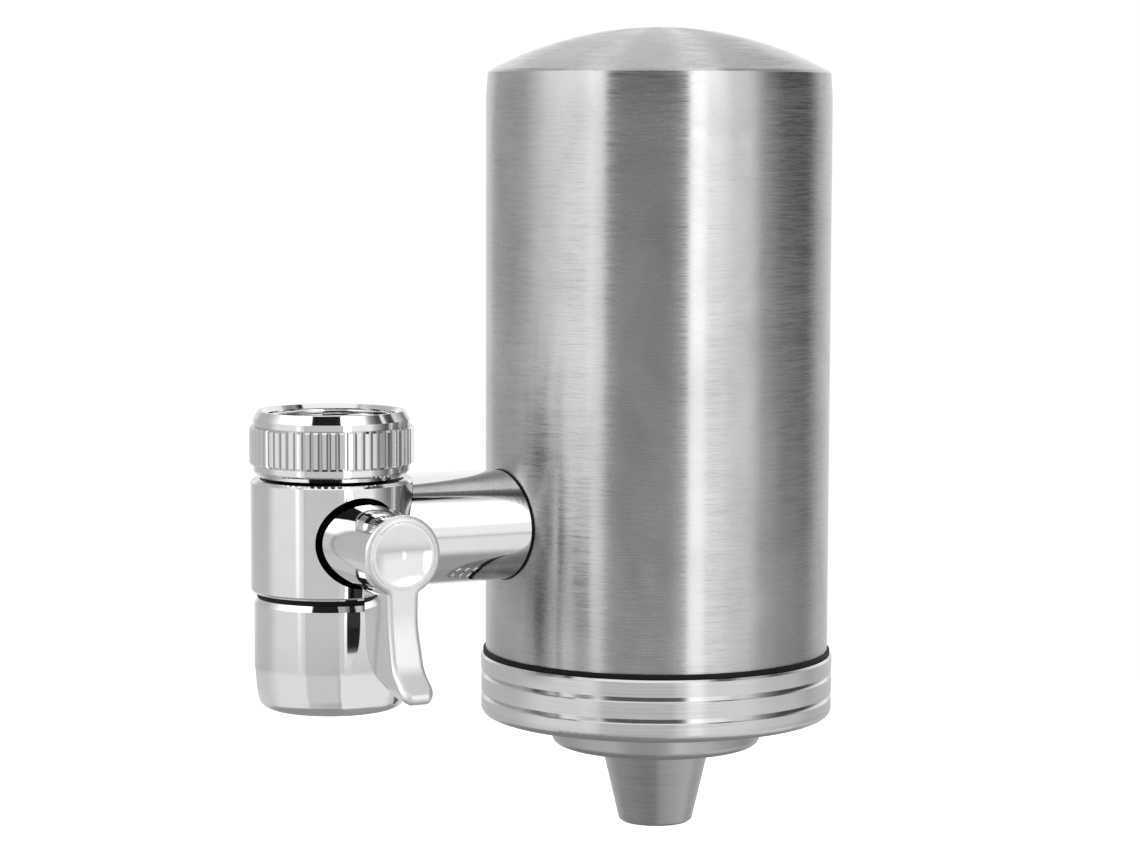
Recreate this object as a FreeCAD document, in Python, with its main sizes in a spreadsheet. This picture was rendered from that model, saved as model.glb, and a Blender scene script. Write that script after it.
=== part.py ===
import FreeCAD, Part
import math
import os
import re
import Sketcher

# A water filter that screws onto the spout of a kitchen tap. A diverter hangs from a swivelling nut, an arm
# carries a steel can with a ceramic candle in it, and the lever chooses between plain and filtered water.
#
# Row frame: the origin is the centre of the nut's mouth, +Z runs up the thread, +X along the arm to the can,
# and the lever's hub points along -Y. Sizes are in millimetres.

# A number is a size that can be set by itself. A text is worked out from other sizes and named clearances.
SIZES = [
    # Small clearances shared by the fits, and how far a cut runs past the surface that it opens
    ("fit_clearance", 0.05),
    ("loose_clearance", 0.1),
    ("cut_margin", 1.0),
    # Knurled nut that screws onto the tap, M22 x 1
    ("thread_radius", 11.0),
    ("thread_length", 5.55),
    ("thread_lead", 0.65),
    ("thread_relief", 0.4),
    ("nut_wall", 2.0),
    ("nut_radius", "thread_radius + nut_wall"),
    ("nut_height", 10.9),
    ("nut_mouth_slope", 0.8),
    ("nut_mouth_depth", 1.4),
    ("nut_foot_slope", 0.8),
    ("nut_foot_depth", 1.0),
    ("nut_flange", 1.4),
    ("knurl_rise", 0.7),
    ("knurl_start", 2.5),
    ("knurl_foot", 1.0),
    ("knurl_band", "nut_height - knurl_start - knurl_foot - nut_foot_depth"),
    ("knurl_bevel", 0.35),
    ("knurl_depth", 0.45),
    ("knurl_groove", 0.62),
    ("knurl_count", 60),
    # Snap ring that holds the diverter's neck in the nut
    ("snap_ring_thickness", 1.0),
    ("snap_ring_width", 1.75),
    ("snap_groove_depth", 0.6),
    ("snap_ring_opening", 40),
    ("swivel_gap", 0.5),
    ("swivel_clearance", 0.2),
    # Neck of the diverter
    ("neck_inset", 2.2),
    ("neck_radius", "thread_radius - neck_inset"),
    ("neck_land", 0.55),
    ("snap_groove_low", "swivel_gap + nut_flange + loose_clearance"),
    ("snap_groove_high", "snap_groove_low + snap_ring_thickness + fit_clearance"),
    ("neck_height", "snap_groove_high + neck_land"),
    ("water_bore", 4.0),
    # Inlet washer and strainer
    ("washer_thickness", 1.6),
    ("washer_clearance", 0.3),
    ("washer_radius", "thread_radius - washer_clearance"),
    ("washer_hole", 6.0),
    ("strainer_thickness", 0.4),
    ("strainer_hole", 0.55),
    ("strainer_rim", 0.9),
    ("strainer_pitch", "(washer_hole - strainer_rim) / 3"),
    # Diverter body
    ("body_step", 0.5),
    ("body_radius", "nut_radius + body_step"),
    ("body_height", 18.9),
    ("body_edge", 0.5),
    # Valve, all about the hub's axis: hub recess, gland, spool and seals
    ("hub_clearance", 0.6),
    ("hub_recess_radius", "hub_radius + hub_flare + hub_clearance"),
    ("hub_recess_depth", 2.9),
    ("hub_seat", "body_radius - hub_recess_depth"),
    ("gland_step", 0.6),
    ("gland_radius", "spool_radius + gland_step"),
    ("gland_length", 2.9),
    ("gland_back", "hub_seat - gland_length"),
    ("gland_pin_radius", 0.6),
    ("spool_radius", 5.45),
    ("spool_end", "gland_back - loose_clearance * 2"),
    ("spool_port", 3.0),
    ("seal_section", 1.0),
    ("seal_groove_half", "seal_section * 0.7"),
    ("seal_inset", 1.7),
    ("spool_seal_spread", "spool_end - seal_inset"),
    ("stem_radius", 3.5),
    ("stem_reach", 14.0),
    ("stem_square", 4.8),
    ("stem_square_length", 7.0),
    # Lever's screw and the button over it
    ("screw_radius", 1.5),
    ("screw_depth", 5.5),
    ("screw_web", 4.4),
    ("screw_head_radius", 2.75),
    ("screw_head_height", 2.0),
    ("screw_bevel", 0.3),
    ("screw_key", 2.0),
    ("screw_key_depth", 1.2),
    ("screw_seat", "stem_reach + stem_square_length + loose_clearance * 2 + screw_web"),
    ("cap_gap", 0.8),
    ("cap_inset", 1.05),
    ("cap_radius", "hub_radius - cap_inset"),
    ("cap_thickness", 2.0),
    ("cap_dish", 0.5),
    ("cap_rim", 0.6),
    # Lever
    ("hub_back", "hub_seat + hub_clearance"),
    ("hub_front", "screw_seat + screw_head_height + cap_gap + cap_thickness"),
    ("hub_radius", 6.5),
    ("hub_flare", 0.35),
    ("hub_edge", 1.0),
    ("hub_counterbore_radius", "stem_radius + loose_clearance * 2"),
    ("lever_root", 5.7),
    ("lever_width", 5.4),
    ("lever_waist", 5.2),
    ("lever_tip_width", 6.0),
    ("lever_back", 19.2),
    ("lever_belly", 1.9),
    ("lever_reach", 37.1),
    ("lever_drop", 23.2),
    ("lever_tip_slope", 0.5),
    ("lever_bend", 16.0),
    ("lever_curl", 4.7),
    ("lever_heel", 7.5),
    ("lever_edge", 0.8),
    ("lever_tip_corner", 2.5),
    ("lever_neck_round", 1.0),
    # Outlet: spigot, gasket and collar
    ("spigot_inset", 3.0),
    ("spigot_radius", "body_radius - spigot_inset"),
    ("spigot_length", 7.0),
    ("outlet_gasket_inset", 0.45),
    ("outlet_gasket_radius", "collar_radius - outlet_gasket_inset"),
    ("outlet_gasket_thickness", 0.95),
    ("collar_wall", 2.4),
    ("collar_radius", "spigot_radius + fit_clearance + collar_wall"),
    ("collar_height", 18.55),
    ("collar_mouth_slope", 0.55),
    ("collar_mouth_depth", 0.95),
    ("collar_waist_draw", 0.35),
    ("collar_waist_round", 13.0),
    ("collar_draw_round", 10.4),
    ("collar_foot_draw", 0.95),
    ("collar_foot_round", 2.0),
    ("collar_lip_overlap", 0.9),
    ("collar_lip_radius", "spigot_radius - collar_lip_overlap"),
    ("collar_lip", 1.5),
    ("collar_lip_round", 0.3),
    # Aerator
    ("aerator_flange", 1.2),
    ("aerator_washer", 1.3),
    ("aerator_wall", 1.3),
    ("aerator_nose", "collar_lip_radius - loose_clearance"),
    ("aerator_inside", "aerator_nose - aerator_wall"),
    ("grille_thickness", 1.0),
    ("grille_round", 0.3),
    ("grille_ring", 1.2),
    ("grille_rim", 0.55),
    ("grille_slot", "(aerator_inside - grille_rim) / 3 - grille_ring"),
    ("grille_spokes", 6),
    ("screen_thickness", 0.5),
    # Arm, its threaded nipple and seals
    ("arm_radius", 9.4),
    ("stud_radius", 5.0),
    ("stud_bore", 3.2),
    ("stud_start", 7.2),
    ("thread_bevel", 0.4),
    ("pilot_wall", 2.0),
    ("pilot_radius", "stud_radius + pilot_wall"),
    ("pilot_land", 0.64),
    ("pilot_depth", "body_radius - sqrt(body_radius ^ 2 - pilot_radius ^ 2) + pilot_land"),
    ("pilot_gap", 1.3),
    ("can_gasket_thickness", 0.3),
    ("can_gasket_edge", 0.1),
    ("can_gasket_radius", "arm_radius + can_gasket_edge"),
    ("saddle_nut_wall", 3.0),
    ("saddle_nut_radius", "stud_radius + saddle_nut_wall"),
    ("saddle_nut_thickness", 2.0),
    # Can
    ("can_offset", 61.4),
    ("can_drop", 44.0),
    ("can_radius", 30.0),
    ("can_wall", 0.8),
    ("can_inner", "can_radius - can_wall"),
    ("can_side", 100.35),
    ("can_ease_height", 4.5),
    ("can_ease", 0.3),
    ("can_edge", 0.45),
    ("dome_rise", 7.4),
    ("thread_ring_height", 8.0),
    ("thread_ring_wall", 1.65),
    ("can_thread_radius", "can_inner - fit_clearance - thread_ring_wall"),
    # Closure: gasket and base cap
    ("closure_gasket_thickness", 0.9),
    ("closure_gasket_radius", "cap_ring_radius - cap_ring_slope"),
    ("cap_ring_overhang", 0.8),
    ("cap_ring_radius", "can_radius + cap_ring_overhang"),
    ("cap_ring_height", 10.7),
    ("cap_ring_slope", 0.35),
    ("cap_ring_edge", 1.35),
    ("cap_spigot_height", 7.5),
    ("cap_spigot_wall", 2.5),
    ("cap_spigot_bevel", 0.5),
    ("cap_spigot_radius", "can_thread_radius - fit_clearance"),
    ("cap_cavity", "cap_spigot_radius - cap_spigot_wall"),
    ("cap_groove_top", 3.3),
    ("cap_groove_spread", 3.7),
    ("cap_groove_width", 0.9),
    ("cap_groove_depth", 0.45),
    ("cap_floor", 4.1),
    ("boss_radius", 18.3),
    ("boss_height", 5.4),
    ("boss_foot_round", 0.4),
    ("boss_edge", 1.3),
    ("nipple_socket_depth", 4.0),
    ("spout_socket_depth", 4.5),
    # Spout
    ("spout_top_radius", 9.64),
    ("spout_tip_radius", 6.37),
    ("spout_length", 14.0),
    ("spout_edge", 0.4),
    ("spout_bore", 3.6),
    ("spout_thread_radius", 5.4),
    ("spout_thread_length", "spout_socket_depth - loose_clearance * 3"),
    ("spout_seal_radius", 7.2),
    # Ceramic candle and its carbon core
    ("nipple_radius", 6.0),
    ("nipple_length", "nipple_socket_depth - loose_clearance * 2"),
    ("nipple_bore", 3.0),
    ("nipple_seal_height", "seal_section * 1.5 - nipple_length"),
    ("candle_foot_gap", 1.45),
    ("candle_foot_radius", "cap_cavity - candle_foot_gap"),
    ("candle_foot_height", 14.5),
    ("candle_foot_wall", 2.0),
    ("candle_foot_round", 1.0),
    ("candle_flange", 2.5),
    ("candle_gap", 3.7),
    ("candle_radius", "can_inner - candle_gap"),
    ("candle_wall", 6.5),
    ("candle_top_gap", 3.4),
    ("candle_shoulder", 5.0),
    ("core_gap", 1.0),
    ("core_round", 2.0),
]

# Shape of the lever's side: how far down the blade, and how far out, its corners lie between root and tip
BEND_SHARE = 0.323
CURL_SHARE = 0.712
CURL_REACH_SHARE = 0.305
TIP_SHARE = 0.905
HEEL_SHARE = 0.78
# An edge is a crease when its faces meet at more than this many degrees
LEAST_CREASE = 12
# How much of a face's outward normal points to a side, and to the back, for the face to count as such
SIDE_SHARE = 0.5
BACK_SHARE = 0.1
# Shape of the collar: how far down its two changes of slope lie
WAIST_SHARE = 0.623
DRAW_SHARE = 0.838
# How much of the can's dome the candle's dome takes up
SHOULDER_SHARE = 0.75
# Degrees that the aerator's spokes take up in its three rings of slots
SPOKE_ANGLES = (34, 18, 12)

doc = FreeCAD.newDocument("faucet_filter")
sheet = doc.addObject("Spreadsheet::Sheet", "Sizes")
for row, (alias, size) in enumerate(SIZES, start=1):
    sheet.set(f"A{row}", alias)
    sheet.setAlias(f"B{row}", alias)
for row, (alias, size) in enumerate(SIZES, start=1):
    sheet.set(f"B{row}", f"={size}")
doc.recompute()

# A sketch's numbers for its two axes and its origin, and for the points of an edge
V_AXIS, H_AXIS = range(-2, 0)
ORIGIN = H_AXIS
START, END, CENTRE = range(1, 4)


def bound(text):
    """The expression that binds to the sheet: each size name is led by the sheet's name."""
    return re.sub(r"\b[a-z]+(?:_[a-z0-9]+)+\b", r"Sizes.\g<0>", f"({text})")


def number(text):
    """The present value of an expression of size names."""
    return float(sheet.evalExpression(bound(str(text))))


# Heights and places that several pieces share, worked out from the sizes

neck_top = "neck_height - nut_height - swivel_gap"
valve_height = "0 - (nut_height + swivel_gap + body_height / 2)"
half_body = "body_height / 2"
outlet_gasket_top = f"{valve_height} - {half_body}"
collar_top = f"{outlet_gasket_top} - outlet_gasket_thickness"
thread_bottom = "0 - thread_lead - thread_length"
cap_rim_height = "0 - can_drop - closure_gasket_thickness"
boss_foot = "0 - (cap_ring_height + boss_height)"
cap_floor_top = "0 - (cap_ring_height - cap_floor)"


def piece(label, across="0", deep="0", up="0"):
    """A body of its own, placed in the row frame by three expressions."""
    body = doc.addObject("PartDesign::Body", "Body_" + label)
    body.Label = label
    body.setExpression("Placement.Base.x", bound(across))
    body.setExpression("Placement.Base.y", bound(deep))
    body.setExpression("Placement.Base.z", bound(up))
    return body


def plane(body, role):
    """One of the body's own origin planes or axes, found by its role."""
    return [item for item in body.Origin.OriginFeatures if item.Role == role][0]


def sketch_on(body, name, role, lift="0"):
    """An empty sketch on a plane of the body, lifted along the plane's normal."""
    sketch = body.newObject("Sketcher::SketchObject", name)
    sketch.AttachmentSupport = [(plane(body, role), "")]
    sketch.MapMode = "FlatFace"
    sketch.setExpression("AttachmentOffset.Base.z", bound(lift))
    return sketch


def hold(sketch, kind, geometry, point, text):
    """Binds one coordinate of a sketch point, measured from the sketch's origin."""
    constraint = Sketcher.Constraint(kind, ORIGIN, START, geometry, point, number(text))
    index = sketch.addConstraint(constraint)
    sketch.setExpression(f"Constraints[{index}]", bound(text))


def arc_about(centre, radius, first, last):
    """The shorter arc from first to last, and which of its ends lies at first."""
    start = math.atan2(first.y - centre.y, first.x - centre.x)
    end = math.atan2(last.y - centre.y, last.x - centre.x)
    circle = Part.Circle(centre, FreeCAD.Vector(0, 0, 1), radius)
    if (end - start) % (2 * math.pi) < math.pi:
        return Part.ArcOfCircle(circle, start, end), START, END
    return Part.ArcOfCircle(circle, end, start), END, START


def outline(body, name, role, corners, lift="0", axis=V_AXIS):
    """A closed sketch through corners, each (across, up) in the plane.

    A third entry is the radius that rounds the corner, or "dome": then the side that leaves the corner is an
    arc centred on the turning axis. Every corner and radius is bound to the sheet.
    """
    sketch = sketch_on(body, name, role, lift)
    count = len(corners)
    spots = [FreeCAD.Vector(number(c[0]), number(c[1]), 0) for c in corners]
    marks = [c[2] if len(c) > 2 else None for c in corners]
    enter, leave, rounds = list(spots), list(spots), {}
    for i, mark in enumerate(marks):
        if mark in (None, "dome"):
            continue
        before = (spots[i - 1] - spots[i]).normalize()
        after = (spots[(i + 1) % count] - spots[i]).normalize()
        half = before.getAngle(after) / 2
        radius = number(mark)
        enter[i] = spots[i] + before * (radius / math.tan(half))
        leave[i] = spots[i] + after * (radius / math.tan(half))
        rounds[i] = spots[i] + (before + after).normalize() * (radius / math.sin(half))

    sides = []
    for i in range(count):
        first, last = leave[i], enter[(i + 1) % count]
        if marks[i] == "dome":
            if axis == V_AXIS:
                low = (first.x**2 + first.y**2 - last.x**2 - last.y**2) / (2 * (first.y - last.y))
                centre = FreeCAD.Vector(0, low, 0)
            else:
                low = (first.x**2 + first.y**2 - last.x**2 - last.y**2) / (2 * (first.x - last.x))
                centre = FreeCAD.Vector(low, 0, 0)
            arc, head, tail = arc_about(centre, (first - centre).Length, first, last)
            side = sketch.addGeometry(arc)
            sketch.addConstraint(Sketcher.Constraint("PointOnObject", side, CENTRE, axis))
            sides.append((side, head, tail))
        else:
            sides.append((sketch.addGeometry(Part.LineSegment(first, last)), START, END))

    for i in range(count):
        into, _, into_end = sides[i - 1]
        out, out_start, _ = sides[i]
        if i in rounds:
            radius = number(marks[i])
            arc, head, tail = arc_about(rounds[i], radius, enter[i], leave[i])
            bend = sketch.addGeometry(arc)
            sketch.addConstraint(Sketcher.Constraint("Tangent", into, into_end, bend, head))
            sketch.addConstraint(Sketcher.Constraint("Tangent", bend, tail, out, out_start))
            size = sketch.addConstraint(Sketcher.Constraint("Radius", bend, radius))
            sketch.setExpression(f"Constraints[{size}]", bound(marks[i]))
            corner, point = sketch.addGeometry(Part.Point(spots[i]), True), START
            sketch.addConstraint(Sketcher.Constraint("PointOnObject", corner, START, into))
            sketch.addConstraint(Sketcher.Constraint("PointOnObject", corner, START, out))
        else:
            sketch.addConstraint(Sketcher.Constraint("Coincident", into, into_end, out, out_start))
            corner, point = out, out_start
        hold(sketch, "DistanceX", corner, point, corners[i][0])
        hold(sketch, "DistanceY", corner, point, corners[i][1])
    return sketch


def circle_sketch(body, name, role, across, up, radius, lift="0"):
    """A sketch that holds one circle, its centre and radius bound to the sheet."""
    sketch = sketch_on(body, name, role, lift)
    centre = FreeCAD.Vector(number(across), number(up), 0)
    ring = sketch.addGeometry(Part.Circle(centre, FreeCAD.Vector(0, 0, 1), number(radius)))
    hold(sketch, "DistanceX", ring, CENTRE, across)
    hold(sketch, "DistanceY", ring, CENTRE, up)
    size = sketch.addConstraint(Sketcher.Constraint("Radius", ring, number(radius)))
    sketch.setExpression(f"Constraints[{size}]", bound(radius))
    return sketch


def square_about(half):
    """The corners of a square about the sketch's origin, from half its width."""
    low = f"0 - ({half})"
    return [(low, low), (half, low), (half, half), (low, half)]


def turn(body, name, sketch, axis="V_Axis", angle="360"):
    """Material turned about an axis of its sketch."""
    feature = body.newObject("PartDesign::Revolution", name)
    feature.Profile = sketch
    feature.ReferenceAxis = (sketch, [axis])
    feature.setExpression("Angle", bound(angle))
    return feature


def groove(body, name, sketch, axis="V_Axis", angle="360"):
    """Material cut away by turning a sketch about one of its axes."""
    feature = body.newObject("PartDesign::Groove", name)
    feature.Profile = sketch
    feature.ReferenceAxis = (sketch, [axis])
    feature.setExpression("Angle", bound(angle))
    return feature


def pad(body, name, sketch, length, side="One side"):
    """Material pushed out of the sketch's plane along its normal."""
    feature = body.newObject("PartDesign::Pad", name)
    feature.Profile = sketch
    feature.SideType = side
    feature.setExpression("Length", bound(length))
    return feature


def pocket(body, name, sketch, length=None, side="One side", backwards=False):
    """Material cut along the sketch's normal when backwards, else against it: a depth, or right through."""
    feature = body.newObject("PartDesign::Pocket", name)
    feature.Profile = sketch
    feature.SideType = side
    feature.Reversed = backwards
    if length is None:
        feature.Type = "ThroughAll"
    else:
        feature.setExpression("Length", bound(length))
    return feature


def around(body, name, originals, axis_role, count):
    """Copies of features, evenly spaced about one of the body's axes."""
    pattern = body.newObject("PartDesign::PolarPattern", name)
    pattern.Originals = originals
    pattern.Axis = (plane(body, axis_role), [""])
    pattern.Angle = 360
    pattern.setExpression("Occurrences", bound(count))
    body.Tip = pattern
    return pattern


def seal_ring(label, axis, along, centre_radius, section, place):
    """An O-ring: a circle turned about the vertical axis "Z", or the lying axes "X" and "Y"."""
    body = piece(label, *place)
    if axis == "Z":
        sketch = circle_sketch(body, label + "_section", "XZ_Plane", centre_radius, along, section)
        turn(body, label + "_ring", sketch)
    else:
        role = "XZ_Plane" if axis == "X" else "YZ_Plane"
        sketch = circle_sketch(body, label + "_section", role, along, centre_radius, section)
        turn(body, label + "_ring", sketch, "H_Axis")
    return body


def faucet_nut():
    """Knurled swivel nut: a turned ring, threaded above, with a flange below for the snap ring."""
    body = piece("faucet_nut")
    knurl_radius = "nut_radius + knurl_rise"
    knurl_end = "knurl_start + knurl_band"
    bore = "neck_radius + swivel_clearance"
    corners = [
        ("thread_radius + thread_lead", "0"),
        ("nut_radius - nut_mouth_slope", "0"),
        ("nut_radius", "0 - nut_mouth_depth"),
        ("nut_radius", "0 - knurl_start"),
        (f"{knurl_radius} - knurl_bevel", "0 - knurl_start"),
        (knurl_radius, "0 - knurl_start - knurl_bevel"),
        (knurl_radius, f"knurl_bevel - ({knurl_end})"),
        (f"{knurl_radius} - knurl_bevel", f"0 - ({knurl_end})"),
        ("nut_radius", f"0 - ({knurl_end})"),
        ("nut_radius", "nut_foot_depth - nut_height"),
        ("nut_radius - nut_foot_slope", "0 - nut_height"),
        (bore, "0 - nut_height"),
        (bore, "nut_flange - nut_height"),
        ("thread_radius + thread_relief", "nut_flange - nut_height"),
        ("thread_radius + thread_relief", thread_bottom),
        ("thread_radius", thread_bottom),
        ("thread_radius", "0 - thread_lead"),
    ]
    turn(body, "nut_turning", outline(body, "nut_profile", "XZ_Plane", corners))

    flute = [
        ("0 - knurl_groove", f"{knurl_radius} + knurl_depth"),
        ("0 - knurl_groove / 4", f"{knurl_radius} - knurl_depth"),
        ("knurl_groove / 4", f"{knurl_radius} - knurl_depth"),
        ("knurl_groove", f"{knurl_radius} + knurl_depth"),
    ]
    flute_sketch = outline(body, "flute_profile", "XY_Plane", flute, lift="0 - knurl_start")
    first_flute = pocket(body, "first_flute", flute_sketch, "knurl_band")
    around(body, "knurl", [first_flute], "Z_Axis", "knurl_count")


def nut_retaining_ring():
    """Open spring ring in the neck's groove, resting just above the nut's flange."""
    body = piece("nut_retaining_ring", up="nut_flange + loose_clearance - nut_height")
    inside = "neck_radius - snap_groove_depth + fit_clearance"
    outside = f"{inside} + snap_ring_width"
    corners = [
        (inside, "0"),
        (outside, "0"),
        (outside, "snap_ring_thickness"),
        (inside, "snap_ring_thickness"),
    ]
    profile = outline(body, "ring_profile", "XZ_Plane", corners)
    turn(body, "ring_turning", profile, angle="360 - snap_ring_opening")


def inlet_washer():
    """Flat rubber washer between the tap and the neck."""
    body = piece("inlet_washer", up=neck_top)
    edge = "washer_thickness / 4"
    corners = [
        ("washer_hole", "0"),
        ("washer_radius", "0", edge),
        ("washer_radius", "washer_thickness", edge),
        ("washer_hole", "washer_thickness"),
    ]
    turn(body, "washer_turning", outline(body, "washer_profile", "XZ_Plane", corners))


def inlet_strainer():
    """Punched disc that lies in the washer's hole and keeps grit out of the valve."""
    body = piece("inlet_strainer", up=neck_top)
    disc = circle_sketch(body, "disc_circle", "XY_Plane", "0", "0", "washer_hole - loose_clearance")
    pad(body, "disc", disc, "strainer_thickness")
    middle = circle_sketch(body, "middle_circle", "XY_Plane", "0", "0", "strainer_hole")
    pocket(body, "middle_hole", middle, side="Symmetric")
    for ring in (1, 2, 3):
        name = f"ring_{ring}"
        radius = f"{ring} * strainer_pitch"
        hole = circle_sketch(body, name + "_circle", "XY_Plane", radius, "0", "strainer_hole")
        first = pocket(body, name + "_hole", hole, side="Symmetric")
        around(body, name + "_holes", [first], "Z_Axis", f"{6 * ring}")


def diverter_body():
    """Turned brass body with the neck above, the outlet spigot below, and the valve bored across it."""
    body = piece("diverter_body", up=valve_height)
    neck_rise = f"{half_body} + neck_height"
    ring_low = f"{half_body} + snap_groove_low"
    ring_high = f"{half_body} + snap_groove_high"
    groove_radius = "neck_radius - snap_groove_depth"
    foot = f"0 - {half_body}"
    corners = [
        ("water_bore", f"{foot} - spigot_length"),
        ("spigot_radius", f"{foot} - spigot_length"),
        ("spigot_radius", foot),
        ("body_radius - body_edge", foot),
        ("body_radius", f"{foot} + body_edge"),
        ("body_radius", f"{half_body} - body_edge"),
        ("body_radius - body_edge", half_body),
        ("neck_radius", half_body),
        ("neck_radius", ring_low),
        (groove_radius, ring_low),
        (groove_radius, ring_high),
        ("neck_radius", ring_high),
        ("neck_radius", neck_rise),
        ("water_bore", neck_rise),
    ]
    turn(body, "body_turning", outline(body, "body_profile", "XZ_Plane", corners))

    # The valve is bored from the front in three steps: hub recess, gland seat and spool bore, closed behind
    front = "0 - body_radius - cut_margin"
    behind = "spool_end + loose_clearance"
    valve = [
        (front, "0"),
        (front, "hub_recess_radius"),
        ("0 - hub_seat", "hub_recess_radius"),
        ("0 - hub_seat", "gland_radius"),
        ("0 - gland_back", "gland_radius"),
        ("0 - gland_back", "spool_radius + fit_clearance"),
        (behind, "spool_radius + fit_clearance"),
        (behind, "0"),
    ]
    groove(body, "valve_bore", outline(body, "valve_profile", "YZ_Plane", valve), "H_Axis")

    # The arm's side: a counterbore for the pilot, a threaded seat for the nipple and the water way between
    side = "body_radius + cut_margin"
    ways = [
        ("0", "0"),
        ("0", "stud_bore"),
        ("stud_start", "stud_bore"),
        ("stud_start", "stud_radius"),
        ("body_radius - pilot_depth", "stud_radius"),
        ("body_radius - pilot_depth", "pilot_radius"),
        (side, "pilot_radius"),
        (side, "0"),
    ]
    groove(body, "arm_bore", outline(body, "arm_bore_profile", "XZ_Plane", ways), "H_Axis")


def valve_spool():
    """Three-way spool: a bore straight down and a branch to one side, a round stem and a square end."""
    body = piece("valve_spool", up=valve_height)
    seat = "spool_radius - seal_section"
    half = "seal_groove_half"
    spread = "spool_seal_spread"
    corners = [
        ("spool_end", "0"),
        ("spool_end", "spool_radius"),
        (f"{spread} + {half}", "spool_radius"),
        (f"{spread} + {half}", seat),
        (f"{spread} - {half}", seat),
        (f"{spread} - {half}", "spool_radius"),
        (f"{half} - {spread}", "spool_radius"),
        (f"{half} - {spread}", seat),
        (f"0 - {half} - {spread}", seat),
        (f"0 - {half} - {spread}", "spool_radius"),
        ("0 - spool_end", "spool_radius"),
        ("0 - spool_end", "stem_radius"),
        ("0 - stem_reach", "stem_radius"),
        ("0 - stem_reach", "0"),
    ]
    turn(body, "spool_turning", outline(body, "spool_profile", "YZ_Plane", corners), "H_Axis")
    square = outline(body, "square", "XZ_Plane", square_about("stem_square / 2"), lift="stem_reach")
    pad(body, "square_end", square, "stem_square_length")
    through = circle_sketch(body, "through_circle", "XY_Plane", "0", "0", "spool_port")
    pocket(body, "through_port", through, side="Symmetric")
    branch = circle_sketch(body, "branch_circle", "YZ_Plane", "0", "0", "spool_port")
    pocket(body, "branch_port", branch)
    end = "stem_reach + stem_square_length"
    tapped = circle_sketch(body, "tapped_circle", "XZ_Plane", "0", "0", "screw_radius", lift=end)
    pocket(body, "tapped_hole", tapped, "screw_depth + screw_radius")


def spool_seals():
    """The two O-rings that keep water between the spool's ends."""
    section = "seal_section / 2 - fit_clearance / 2"
    radius = "spool_radius - seal_section / 2"
    place = ("0", "0", valve_height)
    seal_ring("spool_front_seal", "Y", "0 - spool_seal_spread", radius, section, place)
    seal_ring("spool_rear_seal", "Y", "spool_seal_spread", radius, section, place)


def valve_gland():
    """Threaded ring that keeps the spool in its bore, with two holes for a pin spanner."""
    body = piece("valve_gland", up=valve_height)
    back, front = "0 - gland_back", "0 - hub_seat"
    outside = "gland_radius - fit_clearance"
    inside = "stem_radius + fit_clearance"
    corners = [(front, inside), (front, outside), (back, outside), (back, inside)]
    turn(body, "gland_turning", outline(body, "gland_profile", "YZ_Plane", corners), "H_Axis")
    offset = f"({outside} + {inside}) / 2"
    hole = circle_sketch(body, "pin_circle", "XZ_Plane", offset, "0", "gland_pin_radius", lift="hub_seat")
    pin_hole = pocket(body, "pin_hole", hole, "gland_length / 2")
    around(body, "pin_holes", [pin_hole], "Y_Axis", "2")


def mirrored(body, name, cut):
    """The same cut again on the other side of the YZ plane."""
    twin = body.newObject("PartDesign::Mirrored", name)
    twin.Originals = [cut]
    twin.MirrorPlane = (plane(body, "YZ_Plane"), [""])
    body.Tip = twin
    return twin


def creases(item, wanted):
    """Names of the sharp edges of a feature whose two outward normals are as wanted."""
    found = []
    for index, edge in enumerate(item.Shape.Edges, start=1):
        faces = [face for face in item.Shape.Faces if any(edge.isSame(other) for other in face.Edges)]
        if len(faces) != 2:
            continue
        middle = edge.valueAt((edge.FirstParameter + edge.LastParameter) / 2)
        first, second = [face.normalAt(*face.Surface.parameter(middle)) for face in faces]
        if math.degrees(first.getAngle(second)) > LEAST_CREASE and wanted(first, second):
            found.append(f"Edge{index}")
    return found


def ease(body, name, item, edges, radius):
    """A round of the named size along the given edges of a feature."""
    made = body.newObject("PartDesign::Fillet", name)
    made.Base = (item, edges)
    made.setExpression("Radius", bound(radius))
    body.Tip = made
    doc.recompute()
    return made


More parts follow.
